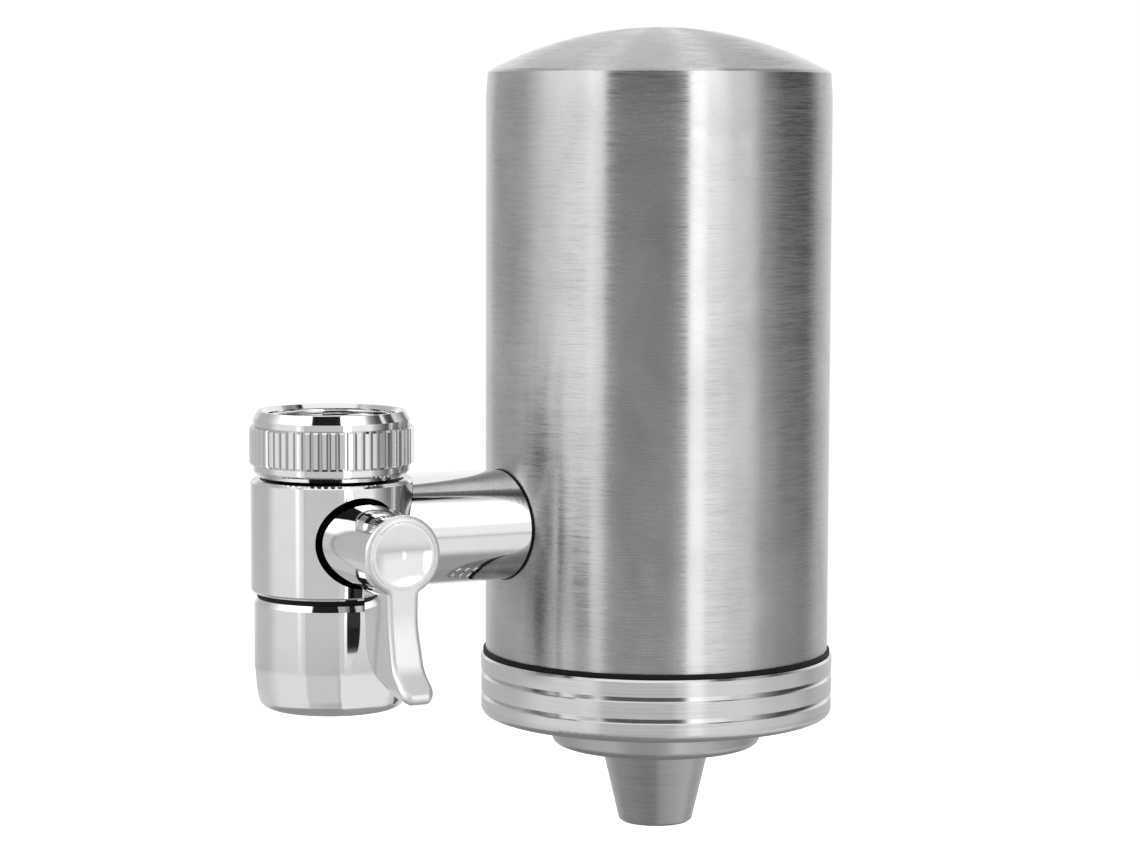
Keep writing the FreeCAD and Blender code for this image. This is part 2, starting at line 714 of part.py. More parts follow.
def lever():
    """Hub on the valve's axis, and under the same front face a finger lever that hangs and curls outward."""
    body = piece("lever", up=valve_height)

    def down(share):
        return f"0 - lever_root - (lever_drop - lever_root) * {share}"

    curl = f"0 - hub_front - (lever_reach - hub_front) * {CURL_REACH_SHARE}"
    side = [
        ("0 - lever_back", "0 - lever_root"),
        ("0 - hub_front", "0 - lever_root"),
        ("0 - hub_front", down(BEND_SHARE), "lever_bend"),
        (curl, down(CURL_SHARE), "lever_curl"),
        ("0 - lever_reach", down(TIP_SHARE)),
        ("lever_tip_slope - lever_reach", "0 - lever_drop"),
        ("0 - lever_back - lever_belly", down(HEEL_SHARE), "lever_heel"),
    ]
    blade = outline(body, "lever_side", "YZ_Plane", side)
    pad(body, "blade", blade, "lever_tip_width", side="Symmetric")
    edge_out = "lever_tip_width / 2 + cut_margin"
    sliver = [
        ("lever_width / 2", "cut_margin - lever_root"),
        (edge_out, "cut_margin - lever_root"),
        (edge_out, "0 - lever_drop - cut_margin"),
        ("lever_tip_width / 2", "0 - lever_drop"),
        ("lever_waist / 2", down(BEND_SHARE), "lever_drop * 2"),
    ]
    flank_sketch = outline(body, "lever_flank", "XZ_Plane", sliver)
    flanks = mirrored(body, "left_flank", pocket(body, "right_flank", flank_sketch, backwards=True))
    doc.recompute()

    # The back's long edges are eased while the tip is still square
    def behind(first, second):
        return abs(first.x - second.x) > SIDE_SHARE and max(first.y, second.y) > BACK_SHARE

    back = ease(body, "eased_back", flanks, creases(flanks, behind), "lever_edge")

    # Seen from the front the tip is a tongue, whose corners are cut off by a round level with the flanks
    part_way = (CURL_SHARE - BEND_SHARE) / (1 - BEND_SHARE)
    flank_at = f"(lever_waist + (lever_tip_width - lever_waist) * {part_way}) / 2"
    corner = [
        (flank_at, down(CURL_SHARE)),
        (edge_out, down(CURL_SHARE)),
        (edge_out, "0 - lever_drop - cut_margin"),
        ("0", "0 - lever_drop - cut_margin"),
        ("0", "0 - lever_drop"),
        ("lever_tip_width / 2", "0 - lever_drop", "lever_tip_corner"),
    ]
    corner_sketch = outline(body, "tip_corner", "XZ_Plane", corner)
    tongue = mirrored(body, "left_corner", pocket(body, "right_corner", corner_sketch, backwards=True))

    hub = [
        ("0 - hub_back", "0"),
        ("0 - hub_back", "hub_radius + hub_flare"),
        ("0 - hub_front", "hub_radius"),
        ("0 - hub_front", "0"),
    ]
    round_hub = turn(body, "hub", outline(body, "hub_profile", "YZ_Plane", hub), "H_Axis")
    doc.recompute()

    # The hub runs into the flanks through a small hollow on each side, and one round follows the whole front
    def in_neck(first, second):
        return abs(first.y) < BACK_SHARE and abs(second.y) < BACK_SHARE

    neck = ease(body, "neck_hollows", round_hub, creases(round_hub, in_neck), "lever_neck_round")
    ahead = creases(neck, lambda first, second: min(first.y, second.y) < -SIDE_SHARE)
    ease(body, "eased_front", neck, ahead, "hub_edge")

    cap_seat = "0 - (hub_front - cap_thickness)"
    beyond = "0 - hub_front - cut_margin"
    bores = [
        ("cut_margin - hub_back", "0"),
        ("cut_margin - hub_back", "hub_counterbore_radius"),
        ("0 - stem_reach", "hub_counterbore_radius"),
        ("0 - stem_reach", "screw_radius + loose_clearance"),
        ("0 - screw_seat", "screw_radius + loose_clearance"),
        ("0 - screw_seat", "screw_head_radius + loose_clearance"),
        (cap_seat, "screw_head_radius + loose_clearance"),
        (cap_seat, "cap_radius + fit_clearance"),
        (beyond, "cap_radius + fit_clearance"),
        (beyond, "0"),
    ]
    groove(body, "hub_bores", outline(body, "bore_profile", "YZ_Plane", bores), "H_Axis")
    square = square_about("stem_square / 2 + fit_clearance")
    socket = outline(body, "socket_square", "XZ_Plane", square, lift="stem_reach")
    pocket(body, "square_socket", socket, "stem_square_length + loose_clearance * 2", backwards=True)


def lever_screw():
    """Socket screw that holds the lever on the square stem."""
    body = piece("lever_screw", up=valve_height)
    tip = "stem_reach + stem_square_length - screw_depth"
    shank = "screw_radius - fit_clearance"
    corners = [
        (f"0 - ({tip})", "0"),
        (f"0 - ({tip})", f"{shank} - screw_bevel"),
        (f"0 - ({tip}) - screw_bevel", shank),
        ("0 - screw_seat", shank),
        ("0 - screw_seat", "screw_head_radius"),
        ("0 - screw_seat - screw_head_height", "screw_head_radius", "screw_head_height / 5"),
        ("0 - screw_seat - screw_head_height", "0"),
    ]
    turn(body, "screw_turning", outline(body, "screw_profile", "YZ_Plane", corners), "H_Axis")
    half = "screw_key / 2"
    point = "screw_key / sqrt(3)"
    hexagon = [
        (point, "0"),
        (f"{point} / 2", half),
        (f"0 - {point} / 2", half),
        (f"0 - {point}", "0"),
        (f"0 - {point} / 2", f"0 - {half}"),
        (f"{point} / 2", f"0 - {half}"),
    ]
    key = outline(body, "key_hexagon", "XZ_Plane", hexagon, lift="screw_seat + screw_head_height")
    pocket(body, "key_socket", key, "screw_key_depth")


def lever_cap():
    """Dished button pressed into the hub's front over the screw."""
    body = piece("lever_cap", up=valve_height)
    back = "0 - (hub_front - cap_thickness)"
    front = "fit_clearance - hub_front"
    corners = [
        (back, "0"),
        (back, "cap_radius"),
        (front, "cap_radius", "cap_rim / 3"),
        (front, "cap_radius - cap_rim", "dome"),
        (f"{front} + cap_dish", "0"),
    ]
    turn(body, "cap_turning", outline(body, "cap_profile", "YZ_Plane", corners, axis=H_AXIS), "H_Axis")


def outlet_gasket():
    """Black flat gasket between the diverter and the outlet collar."""
    body = piece("outlet_gasket", up=outlet_gasket_top)
    inside = "spigot_radius + loose_clearance"
    edge = "outlet_gasket_thickness / 4"
    corners = [
        (inside, "0 - outlet_gasket_thickness"),
        ("outlet_gasket_radius", "0 - outlet_gasket_thickness", edge),
        ("outlet_gasket_radius", "0", edge),
        (inside, "0"),
    ]
    turn(body, "gasket_turning", outline(body, "gasket_profile", "XZ_Plane", corners))


def outlet_collar():
    """Outlet collar screwed on the spigot: straight above, drawn in below to a lip that holds the aerator."""
    body = piece("outlet_collar", up=collar_top)
    inside = "spigot_radius + fit_clearance"
    corners = [
        (inside, "0"),
        ("collar_radius - collar_mouth_slope", "0"),
        ("collar_radius", "0 - collar_mouth_depth"),
        ("collar_radius", f"0 - collar_height * {WAIST_SHARE}", "collar_waist_round"),
        ("collar_radius - collar_waist_draw", f"0 - collar_height * {DRAW_SHARE}", "collar_draw_round"),
        ("collar_radius - collar_foot_draw", "0 - collar_height", "collar_foot_round"),
        ("collar_lip_radius", "0 - collar_height", "collar_lip_round"),
        ("collar_lip_radius", "collar_lip - collar_height"),
        (inside, "collar_lip - collar_height"),
    ]
    turn(body, "collar_turning", outline(body, "collar_profile", "XZ_Plane", corners))


aerator_top = f"{outlet_gasket_top} - spigot_length - aerator_washer"
aerator_seat = f"{collar_top} - collar_height + collar_lip"


def aerator_washer():
    """Rubber washer pressed between the spigot's end and the aerator."""
    body = piece("aerator_washer", up=aerator_top)
    outside = "spigot_radius - loose_clearance"
    inside = f"{outside} - aerator_wall * 2"
    corners = [(inside, "0"), (outside, "0"), (outside, "aerator_washer"), (inside, "aerator_washer")]
    turn(body, "washer_turning", outline(body, "aerator_washer_profile", "XZ_Plane", corners))


def aerator_insert():
    """Moulded aerator: a cup that sits on the collar's lip, its floor a grille of rings and spokes."""
    body = piece("aerator_insert", up=aerator_seat)
    outside = "spigot_radius - loose_clearance"
    rise = f"({aerator_top}) - ({aerator_seat})"
    corners = [
        ("0", "0 - grille_thickness"),
        ("aerator_nose", "0 - grille_thickness", "grille_round"),
        ("aerator_nose", "0"),
        (outside, "0"),
        (outside, rise),
        (f"{outside} - aerator_wall", rise),
        (f"{outside} - aerator_wall", f"{rise} - aerator_flange"),
        ("aerator_inside", f"{rise} - aerator_flange"),
        ("aerator_inside", "0"),
        ("0", "0"),
    ]
    turn(body, "insert_turning", outline(body, "insert_profile", "XZ_Plane", corners))
    cuts = []
    for ring, spoke in enumerate(SPOKE_ANGLES, start=1):
        low = f"grille_ring * {ring} + grille_slot * {ring - 1}"
        slot = [
            (low, "0 - grille_thickness - cut_margin"),
            (f"{low} + grille_slot", "0 - grille_thickness - cut_margin"),
            (f"{low} + grille_slot", "cut_margin"),
            (low, "cut_margin"),
        ]
        sketch = outline(body, f"slot_{ring}_profile", "XZ_Plane", slot)
        width = f"360 / grille_spokes - {spoke}"
        cuts.append(groove(body, f"slot_{ring}", sketch, angle=width))
    around(body, "grille", cuts, "Z_Axis", "grille_spokes")


def aerator_screen():
    """Fine steel screen across the top of the aerator."""
    place = f"{aerator_top} - aerator_flange"
    body = piece("aerator_screen", up=place)
    radius = "spigot_radius - loose_clearance * 2 - aerator_wall"
    disc = circle_sketch(body, "screen_circle", "XY_Plane", "0", "0", radius)
    pad(body, "screen", disc, "screen_thickness")


def inlet_arm():
    """Arm from the diverter to the can: a tube coped at both ends, with a pilot let into the diverter."""
    body = piece("inlet_arm", up=valve_height)
    bore = "stud_radius + loose_clearance"
    tube = [
        ("body_radius / 2", bore),
        ("body_radius / 2", "arm_radius"),
        ("can_offset - can_radius / 2", "arm_radius"),
        ("can_offset - can_radius / 2", bore),
    ]
    turn(body, "tube", outline(body, "tube_profile", "XZ_Plane", tube), "H_Axis")
    body_cope = circle_sketch(body, "body_circle", "XY_Plane", "0", "0", "body_radius + fit_clearance")
    pocket(body, "body_cope", body_cope, side="Symmetric")
    reach = "can_radius + can_gasket_thickness + fit_clearance"
    can_cope = circle_sketch(body, "can_circle", "XY_Plane", "can_offset", "0", reach)
    pocket(body, "can_cope", can_cope, side="Symmetric")
    start = "body_radius - pilot_depth + pilot_gap"
    pilot = [
        (start, bore),
        (start, "pilot_radius - fit_clearance"),
        ("body_radius + cut_margin", "pilot_radius - fit_clearance"),
        ("body_radius + cut_margin", bore),
    ]
    turn(body, "pilot", outline(body, "pilot_profile", "XZ_Plane", pilot), "H_Axis")


def arm_seal():
    """O-ring round the nipple, between the pilot and the bottom of its counterbore."""
    section = "pilot_gap / 2 - fit_clearance / 2"
    along = "body_radius - pilot_depth + pilot_gap / 2"
    radius = "stud_radius + pilot_gap / 2 + loose_clearance"
    seal_ring("arm_seal", "X", along, radius, section, ("0", "0", valve_height))


def arm_stud():
    """Hollow threaded nipple that ties the diverter, arm and can together and carries the water."""
    body = piece("arm_stud", up=valve_height)
    outside = "stud_radius - fit_clearance"
    end = "can_offset - can_inner + saddle_nut_thickness"
    corners = [
        ("stud_start", "stud_bore"),
        ("stud_start", f"{outside} - thread_bevel"),
        ("stud_start + thread_bevel", outside),
        (f"{end} - thread_bevel", outside),
        (end, f"{outside} - thread_bevel"),
        (end, "stud_bore"),
    ]
    turn(body, "stud_turning", outline(body, "stud_profile", "XZ_Plane", corners), "H_Axis")


def saddle_plate(label, outside, bore, radius, thickness):
    """A disc about the arm's axis, bent to the can's curve: its faces are cylinders about the can's axis."""
    body = piece(label, up=valve_height)
    near, far = "can_offset - can_radius - arm_radius / 2", "can_offset - can_radius / 2"
    tube = [(near, bore), (near, radius), (far, radius), (far, bore)]
    turn(body, label + "_blank", outline(body, label + "_profile", "XZ_Plane", tube), "H_Axis")
    inner = circle_sketch(body, label + "_inner", "XY_Plane", "can_offset", "0", f"{outside} - {thickness}")
    pocket(body, label + "_inside", inner, side="Symmetric")
    sweep = sketch_on(body, label + "_outer", "XY_Plane")
    middle = FreeCAD.Vector(number("can_offset"), 0, 0)
    for radius_text in (outside, f"{outside} + can_radius"):
        ring = sweep.addGeometry(Part.Circle(middle, FreeCAD.Vector(0, 0, 1), number(radius_text)))
        hold(sweep, "DistanceX", ring, CENTRE, "can_offset")
        hold(sweep, "DistanceY", ring, CENTRE, "0")
        size = sweep.addConstraint(Sketcher.Constraint("Radius", ring, number(radius_text)))
        sweep.setExpression(f"Constraints[{size}]", bound(radius_text))
    pocket(body, label + "_outside", sweep, side="Symmetric")


def can_gasket():
    """Thin black saddle gasket between the arm and the can."""
    outside = "can_radius + can_gasket_thickness + fit_clearance / 2"
    bore = "stud_radius + loose_clearance"
    saddle_plate("can_gasket", outside, bore, "can_gasket_radius", "can_gasket_thickness")


def saddle_nut():
    """Curved nut inside the can that the nipple screws into."""
    outside = "can_inner - fit_clearance"
    saddle_plate("saddle_nut", outside, "stud_radius", "saddle_nut_radius", "saddle_nut_thickness")


def housing_can():
    """Drawn steel can, open below, with a low dome and a hole in its side for the nipple."""
    body = piece("housing_can", across="can_offset", up="0 - can_drop")
    eased = "can_radius - can_ease"
    corners = [
        ("can_radius", "0"),
        ("can_radius", "can_side - can_ease_height"),
        (eased, "can_side"),
        (f"{eased} - can_edge", "can_side + can_edge", "dome"),
        ("0", "can_side + can_edge + dome_rise"),
        ("0", "can_side + can_edge + dome_rise - can_wall", "dome"),
        (f"{eased} - can_edge - can_wall / 2", "can_side + can_edge - can_wall"),
        (f"{eased} - can_wall", "can_side - can_wall / 2"),
        ("can_inner", "can_side - can_ease_height"),
        ("can_inner", "0"),
    ]
    turn(body, "can_drawing", outline(body, "can_profile", "XZ_Plane", corners))
    height = f"can_drop + {valve_height}"
    hole = circle_sketch(body, "arm_circle", "YZ_Plane", "0", height, "stud_radius")
    pocket(body, "arm_hole", hole)


def can_thread_ring():
    """Threaded ring brazed inside the can's mouth."""
    body = piece("can_thread_ring", across="can_offset", up="0 - can_drop")
    outside = "can_inner - fit_clearance"
    corners = [
        ("can_thread_radius + thread_lead", "0"),
        (outside, "0"),
        (outside, "thread_ring_height"),
        ("can_thread_radius + thread_lead", "thread_ring_height"),
        ("can_thread_radius", "thread_ring_height - thread_lead"),
        ("can_thread_radius", "thread_lead"),
    ]
    turn(body, "ring_turning", outline(body, "ring_profile", "XZ_Plane", corners))


def closure_gasket():
    """Black flat gasket between the can's rim and the base cap."""
    body = piece("closure_gasket", across="can_offset", up="0 - can_drop")
    inside = "can_thread_radius + loose_clearance"
    edge = "closure_gasket_thickness / 4"
    corners = [
        (inside, "0 - closure_gasket_thickness"),
        ("closure_gasket_radius", "0 - closure_gasket_thickness", edge),
        ("closure_gasket_radius", "0", edge),
        (inside, "0"),
    ]
    turn(body, "gasket_turning", outline(body, "gasket_profile", "XZ_Plane", corners))


def base_cap():
    """Screw cap that closes the can: grooved grip ring, flat underside and a boss that takes the spout."""
    body = piece("base_cap", across="can_offset", up=cap_rim_height)
    bottom = "0 - cap_ring_height"
    socket = f"({cap_floor_top}) - nipple_socket_depth"
    spout_seat = f"({boss_foot}) + spout_socket_depth"
    low_groove = "cap_groove_top + cap_groove_spread"
    valley = "cap_ring_radius - cap_groove_depth"
    half = "cap_groove_width / 2"
    corners = [
        ("cap_cavity", "cap_spigot_height"),
        ("cap_spigot_radius - cap_spigot_bevel", "cap_spigot_height"),
        ("cap_spigot_radius", "cap_spigot_height - cap_spigot_bevel"),
        ("cap_spigot_radius", "0"),
        ("cap_ring_radius - cap_ring_slope", "0"),
        ("cap_ring_radius", "0 - cap_ring_slope"),
        ("cap_ring_radius", f"{half} - cap_groove_top"),
        (valley, "0 - cap_groove_top"),
        ("cap_ring_radius", f"0 - {half} - cap_groove_top"),
        ("cap_ring_radius", f"{half} - ({low_groove})"),
        (valley, f"0 - ({low_groove})"),
        ("cap_ring_radius", f"0 - {half} - ({low_groove})"),
        ("cap_ring_radius", bottom, "cap_ring_edge"),
        ("boss_radius", bottom, "boss_foot_round"),
        ("boss_radius", boss_foot, "boss_edge"),
        ("spout_thread_radius", boss_foot),
        ("spout_thread_radius", spout_seat),
        ("spout_bore", spout_seat),
        ("spout_bore", socket),
        ("nipple_radius + loose_clearance", socket),
        ("nipple_radius + loose_clearance", cap_floor_top),
        ("cap_cavity", cap_floor_top),
    ]
    turn(body, "cap_turning", outline(body, "cap_profile", "XZ_Plane", corners))


spout_top = f"{cap_rim_height} + {boss_foot}"


def spout():
    """Tapered spout screwed into the boss, with a groove for its O-ring."""
    body = piece("spout", across="can_offset", up=spout_top)
    thread = "spout_thread_radius - fit_clearance"
    low = "spout_seal_radius - seal_groove_half"
    high = "spout_seal_radius + seal_groove_half"
    slope = "(spout_top_radius - spout_tip_radius) / spout_length"
    corners = [
        ("spout_bore", "spout_thread_length"),
        (f"{thread} - thread_bevel", "spout_thread_length"),
        (thread, "spout_thread_length - thread_bevel"),
        (thread, "0"),
        (low, "0"),
        (low, "0 - seal_section"),
        (high, "0 - seal_section"),
        (high, "0"),
        ("spout_top_radius", "0"),
        (f"spout_tip_radius + {slope} * spout_edge", "spout_edge - spout_length"),
        ("spout_tip_radius - spout_edge", "0 - spout_length"),
        ("spout_bore + spout_edge", "0 - spout_length"),
        ("spout_bore", "spout_edge - spout_length"),
    ]
    turn(body, "spout_turning", outline(body, "spout_profile", "XZ_Plane", corners))


def spout_seal():
    """O-ring in the spout's groove, against the boss."""
    place = ("can_offset", "0", f"{spout_top} - seal_section / 2")
    seal_ring("spout_seal", "Z", "0", "spout_seal_radius", "seal_section / 2 - fit_clearance / 2", place)


candle_seat = f"{cap_rim_height} + ({cap_floor_top})"


def candle_base():
    """Moulded base of the candle: a cup that stands on the cap's floor, its nipple pushed into the socket."""
    body = piece("candle_base", across="can_offset", up=candle_seat)
    top = "candle_foot_height + candle_flange"
    inside = "candle_foot_radius - candle_foot_wall"
    groove_low = "nipple_seal_height - seal_groove_half"
    groove_high = "nipple_seal_height + seal_groove_half"
    corners = [
        ("nipple_bore", "0 - nipple_length"),
        ("nipple_radius", "0 - nipple_length"),
        ("nipple_radius", groove_low),
        ("nipple_radius - seal_section", groove_low),
        ("nipple_radius - seal_section", groove_high),
        ("nipple_radius", groove_high),
        ("nipple_radius", "0"),
        ("candle_foot_radius", "0", "candle_foot_round"),
        ("candle_foot_radius", "candle_foot_height"),
        ("candle_radius", "candle_foot_height"),
        ("candle_radius", top),
        (inside, top),
        (inside, "candle_foot_wall"),
        ("nipple_radius", "candle_foot_wall"),
        ("nipple_radius", "candle_foot_height"),
        ("nipple_bore", "candle_foot_height"),
    ]
    turn(body, "base_turning", outline(body, "candle_base_profile", "XZ_Plane", corners))


def nipple_seal():
    """O-ring in the nipple's groove, inside the cap's socket."""
    height = f"{candle_seat} + nipple_seal_height"
    radius = "nipple_radius - seal_section / 2"
    section = "seal_section / 2 - fit_clearance / 2"
    seal_ring("nipple_seal", "Z", "0", radius, section, ("can_offset", "0", height))


candle_low = f"{candle_seat} + candle_foot_height + candle_flange"
dome_top = "can_side + can_edge + dome_rise - can_wall - can_drop"


def ceramic_candle():
    """Fired ceramic shell, closed above by a low dome that follows the can's."""
    body = piece("ceramic_candle", across="can_offset", up=candle_low)
    peak = f"{dome_top} - candle_top_gap - ({candle_low})"
    shoulder = f"{peak} - dome_rise * {SHOULDER_SHARE}"
    inside = "candle_radius - candle_wall"
    corners = [
        (inside, "0"),
        ("candle_radius", "0"),
        ("candle_radius", f"{shoulder} - candle_shoulder / 2"),
        ("candle_radius - candle_shoulder / 2", shoulder, "dome"),
        ("0", peak),
        ("0", f"{peak} - candle_wall", "dome"),
        (inside, f"{shoulder} - candle_wall"),
    ]
    turn(body, "candle_turning", outline(body, "candle_profile", "XZ_Plane", corners))


def carbon_core():
    """Pressed carbon block inside the ceramic shell, bored for the filtered water."""
    body = piece("carbon_core", across="can_offset", up=candle_low)
    outside = "candle_radius - candle_wall - loose_clearance"
    peak = f"{dome_top} - candle_top_gap - ({candle_low})"
    height = f"{peak} - dome_rise * {SHOULDER_SHARE} - candle_wall - core_gap"
    corners = [
        ("nipple_bore", "0"),
        (outside, "0"),
        (outside, height, "core_round"),
        ("0", height),
        ("0", f"{height} - candle_wall"),
        ("nipple_bore", f"{height} - candle_wall"),
    ]
    turn(body, "core_turning", outline(body, "core_profile", "XZ_Plane", corners))


for build in (
    faucet_nut,
    nut_retaining_ring,
    inlet_washer,
    inlet_strainer,
    diverter_body,
    valve_spool,
    spool_seals,
    valve_gland,
    lever,
    lever_screw,
    lever_cap,
    outlet_gasket,
    outlet_collar,
    aerator_washer,
    aerator_insert,
    aerator_screen,
    inlet_arm,
    arm_seal,
    arm_stud,
    can_gasket,
    saddle_nut,
    housing_can,
    can_thread_ring,
    closure_gasket,
    base_cap,
    spout,
    spout_seal,
    candle_base,
    nipple_seal,
    ceramic_candle,
    carbon_core,
):
    build()
doc.recompute()

ADDS = ("PartDesign::Pad", "PartDesign::Revolution")
CUTS = ("PartDesign::Pocket", "PartDesign::Groove")
ROUNDS = ("PartDesign::Fillet",)
for item in doc.Objects:
    if "Invalid" in item.State or "Error" in item.State:
        raise RuntimeError(f"{item.Name} did not build: {item.State}")
    if item.TypeId in ADDS + CUTS + ROUNDS and item.BaseFeature:
        gain = item.Shape.Volume - item.BaseFeature.Shape.Volume
        wrong_way = gain < 0 and item.TypeId in ADDS or gain > 0 and item.TypeId in CUTS
        if gain == 0 or wrong_way:
            raise RuntimeError(f"{item.Name} changed nothing: {gain:.4f}")

os.makedirs("parts", exist_ok=True)
for body in [item for item in doc.Objects if item.TypeId == "PartDesign::Body"]:
    shape = body.Shape
    if shape.isNull() or not shape.isValid() or len(shape.Solids) != 1:
        raise RuntimeError(f"{body.Label} is not one valid solid")
    shape.exportStep(os.path.join("parts", body.Label + ".step"))
    print(f"{body.Label}: {shape.Volume:.1f} mm3")
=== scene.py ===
import bpy
import math
import numpy as np
from mathutils import Matrix


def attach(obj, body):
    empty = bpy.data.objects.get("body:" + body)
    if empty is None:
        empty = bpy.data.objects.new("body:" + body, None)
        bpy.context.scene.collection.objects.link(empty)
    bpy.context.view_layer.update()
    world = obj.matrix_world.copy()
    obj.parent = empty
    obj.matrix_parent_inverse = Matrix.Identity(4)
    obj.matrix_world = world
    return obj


# A water filter that screws onto the spout of a kitchen tap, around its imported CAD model. Metres throughout.

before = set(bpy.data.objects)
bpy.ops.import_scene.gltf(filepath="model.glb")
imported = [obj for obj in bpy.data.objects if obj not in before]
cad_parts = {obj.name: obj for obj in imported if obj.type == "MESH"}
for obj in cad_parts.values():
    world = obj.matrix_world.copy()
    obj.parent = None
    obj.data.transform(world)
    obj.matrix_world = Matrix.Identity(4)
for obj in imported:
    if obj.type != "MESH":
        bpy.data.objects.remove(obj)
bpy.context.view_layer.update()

# The camera's place and angles, from the outlines in the photograph
CAMERA_PLACE = (-0.2038, -0.50165, 0.0490)
CAMERA_AZIMUTH = math.radians(-26.32)
CAMERA_ELEVATION = math.radians(5.48)
CAMERA_ROLL = math.radians(0.181)
CAMERA_LENS = 102.79

# Where the can's axis and the floor lie
CAN_AXIS = 0.0614
FLOOR_HEIGHT = -0.21

# Where the can's wall starts to draw in, by what slope, and how far to either side that is blended
EASE_START, EASE_SLOPE, EASE_BLEND = 0.05185, 0.0667, 0.0035

# How deep the can is brushed
HAIRLINE_DEPTH = 0.000005

# Heights and radii that bound the chrome's painted shade: the knurl, its grooves' floor and the radii where
# their painted shade is full and where it starts, the top of the body under the nut, and the hub's recess
KNURL_MIDDLE, KNURL_HALF = -0.0057, 0.0033
GROOVE_FLOOR, GROOVE_FULL, GROOVE_START = 0.0128, 0.0134, 0.0136
BODY_TOP, BODY_TOP_RADIUS = -0.01145, 0.0120
VALVE_HEIGHT = -0.02085
HUB_RECESS_RADIUS, HUB_RECESS_FLOOR = 0.0075, -0.0105

# The heights between which the closure goes from a polished ring to a satin underside
SATIN_FULL, SATIN_START = -0.0556, -0.0535


def linear(text):
    """A colour as the shaders take it, from sRGB hex."""
    parts = [int(text[i : i + 2], 16) / 255 for i in (1, 3, 5)]
    return tuple(c / 12.92 if c <= 0.04045 else ((c + 0.055) / 1.055) ** 2.4 for c in parts) + (1.0,)


def grey(level):
    """A neutral colour whose three parts are the same."""
    return (level, level, level, 1.0)


def node(tree, kind, sockets=None, **settings):
    """One shader node. Settings are its properties; sockets are its inputs, each a value or an output."""
    made = tree.nodes.new("ShaderNode" + kind)
    for name, value in settings.items():
        setattr(made, name, value)
    for name, value in (sockets or {}).items():
        if isinstance(value, bpy.types.NodeSocket):
            tree.links.new(value, made.inputs[name])
        else:
            made.inputs[name].default_value = value
    return made


def finish_of(name, **sockets):
    """A material with one Principled surface. Underscores in a socket's name stand for spaces."""
    material = bpy.data.materials.new(name)
    material.use_nodes = True
    tree = material.node_tree
    tree.nodes.clear()
    surface = node(tree, "BsdfPrincipled", {k.replace("_", " "): v for k, v in sockets.items()})
    node(tree, "OutputMaterial", {"Surface": surface.outputs[0]})
    return material, tree, surface


def grain(tree, size, detail=2.0, rough=0.5, twist=0.0):
    """Noise whose features are size = (x, y, z) metres across, read at the piece's own place in metres."""
    place = node(tree, "TexCoord").outputs["Object"]
    scaled = node(tree, "Mapping", {"Vector": place, "Scale": tuple(1 / s for s in size)}).outputs[0]
    settings = {"Detail": detail, "Roughness": rough, "Distortion": twist}
    return node(tree, "TexNoise", {"Vector": scaled, "Scale": 1.0, **settings}).outputs[0]


def spread(tree, value, low, high, start=0.3, end=0.7):
    """Carries value from start..end to low..high, held at both ends."""
    sockets = {"Value": value, "From Min": start, "From Max": end, "To Min": low, "To Max": high}
    return node(tree, "MapRange", sockets).outputs[0]


def tone(tree, factor, dark, light):
    """A mix of two colours, given as hex."""
    mix = node(tree, "Mix", {"Factor": factor}, data_type="RGBA")
    for socket, colour in zip([s for s in mix.inputs if s.type == "RGBA"], (dark, light)):
        socket.default_value = linear(colour)
    return [s for s in mix.outputs if s.type == "RGBA"][0]


def maths(tree, operation, first, second=0.0):
    """One sum on two numbers or outputs."""
    return node(tree, "Math", {0: first, 1: second}, operation=operation).outputs[0]


def relief(tree, surface, height, depth, strength=1.0):
    """Bump on a surface: height counts in units of depth metres."""
    bump = node(tree, "Bump", {"Height": height, "Distance": depth, "Strength": strength})
    tree.links.new(bump.outputs[0], surface.inputs["Normal"])


def feed(tree, surface, **sockets):
    """Links outputs to a surface's inputs. Underscores in a socket's name stand for spaces."""
    for name, output in sockets.items():
        tree.links.new(output, surface.inputs[name.replace("_", " ")])


def chrome(name, *patches):
    """Bright chrome over polished brass: a clear mirror with the faint haze and ripple of a plated casting.

    Each patch is a mask, the plating's colour where the mask is 1, and how much rougher it is there.
    """
    material, tree, surface = finish_of(name, Metallic=1.0)
    haze = grain(tree, (0.004, 0.004, 0.004), detail=3.0)
    wipes = grain(tree, (0.0006, 0.0006, 0.006), detail=2.0)
    colour = tone(tree, haze, "#d4d4d5", "#dededf")
    roughness = spread(tree, maths(tree, "MULTIPLY", haze, wipes), 0.03, 0.075, 0.1, 0.45)
    for mask, patch_colour, rougher in patches:
        share = mask(tree)
        colour = node(tree, "MixRGB", {0: share, 1: colour, 2: linear(patch_colour)}).outputs[0]
        roughness = maths(tree, "ADD", roughness, maths(tree, "MULTIPLY", share, rougher))
    feed(tree, surface, Base_Color=colour, Roughness=roughness)
    relief(tree, surface, grain(tree, (0.0025, 0.0025, 0.0025), detail=1.0), 0.00001, 0.25)
    return material


def place_parts(tree, centre=(0, 0, 0)):
    """The x, y and z of the piece's own place, less the centre's."""
    place = node(tree, "TexCoord").outputs["Object"]
    moved = node(tree, "VectorMath", {0: place, 1: centre}, operation="SUBTRACT").outputs[0]
    return node(tree, "SeparateXYZ", {0: moved}).outputs


def distance(tree, first, second):
    """The length of the vector with these two parts."""
    squares = [maths(tree, "MULTIPLY", part, part) for part in (first, second)]
    return maths(tree, "SQRT", maths(tree, "ADD", *squares))


def knurl_groove_painted_shade(tree):
    """1 in the nut's knurled grooves, where shade is painted in as a darker grey."""
    x, y, z = place_parts(tree, (0, 0, KNURL_MIDDLE))
    radius = distance(tree, x, y)
    outside = maths(tree, "GREATER_THAN", radius, GROOVE_FLOOR)
    deep = maths(tree, "MULTIPLY", outside, spread(tree, radius, 1, 0, GROOVE_FULL, GROOVE_START))
    in_band = maths(tree, "LESS_THAN", maths(tree, "ABSOLUTE", z), KNURL_HALF)
    return maths(tree, "MULTIPLY", deep, in_band)


